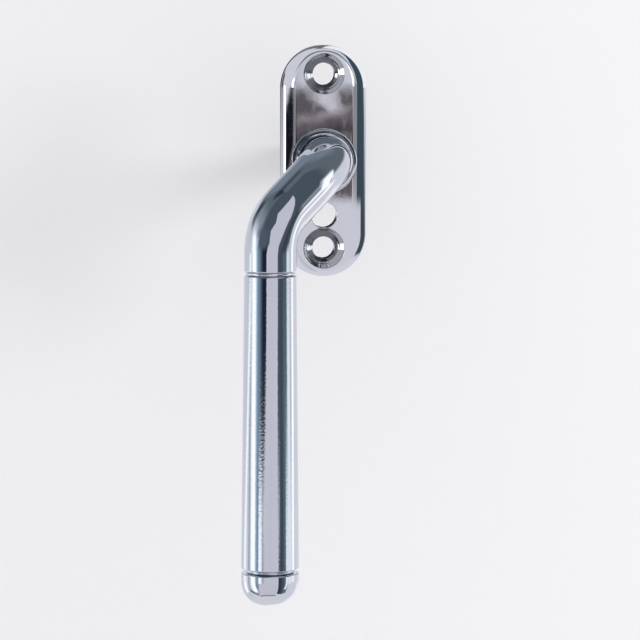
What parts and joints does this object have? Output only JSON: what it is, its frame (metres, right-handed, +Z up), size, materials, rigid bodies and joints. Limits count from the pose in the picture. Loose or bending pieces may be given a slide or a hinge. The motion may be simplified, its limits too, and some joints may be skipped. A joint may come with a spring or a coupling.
{
  "type": "window handle",
  "caption": "Cranked espagnolette window handle: round-ended chrome backplate, turned collar, bent round bar with a straight tapered grip and domed cap, and a square spindle behind.",
  "frame": {"origin": "on the spindle axis, in the plane of the backplate's rear face", "axes": "+Z up along the backplate, front facing -Y, spindle pointing along +Y into the window, +X to the right seen from the front"},
  "size_m": [0.0321, 0.0819, 0.1335],
  "materials": {
    "chromed_zinc": "chrome plated over polished zinc casting",
    "polished_chrome": "polished chrome plate",
    "spring_steel": "blued spring steel",
    "zinc_plated_steel": "bright zinc plate, slightly dulled",
    "ball_steel": "ground bearing steel",
    "bearing_nylon": "black nylon"
  },
  "bodies": {
    "mounting": {"backplate": "chromed_zinc", "collar_ring": "polished_chrome", "bearing_bush": "bearing_nylon", "cover_plate": "zinc_plated_steel", "cover_screw_upper": "zinc_plated_steel", "cover_screw_lower": "zinc_plated_steel", "detent_spring_upper": "spring_steel", "detent_spring_lower": "spring_steel"},
    "lever": {"crank": "polished_chrome", "upper_joint_ring": "polished_chrome", "grip_sleeve": "polished_chrome", "lower_joint_ring": "polished_chrome", "end_cap": "polished_chrome", "tie_stud": "zinc_plated_steel", "spindle": "zinc_plated_steel", "cross_pin": "spring_steel", "index_cam": "spring_steel", "thrust_washer": "bearing_nylon", "wave_washer": "spring_steel", "circlip": "spring_steel"},
    "upper_detent": {"detent_ball_upper": "ball_steel"},
    "lower_detent": {"detent_ball_lower": "ball_steel"}
  },
  "joints": [
    {"name": "lever_turn", "type": "hinge", "parent": "mounting", "child": "lever", "pos_m": [0, 0, 0], "axis": [0, 1, 0], "range_deg": [0, 90]},
    {"name": "upper_ball_slide", "type": "slide", "parent": "mounting", "child": "upper_detent", "axis": [-0.5, 0, -0.866], "range_m": [0, 0.00045], "stiffness_N_per_m": 400, "springref_m": 0.001, "deforming": ["detent_spring_upper"]},
    {"name": "lower_ball_slide", "type": "slide", "parent": "mounting", "child": "lower_detent", "axis": [0.5, 0, 0.866], "range_m": [0, 0.00045], "stiffness_N_per_m": 400, "springref_m": 0.001, "deforming": ["detent_spring_lower"]}
  ]
}
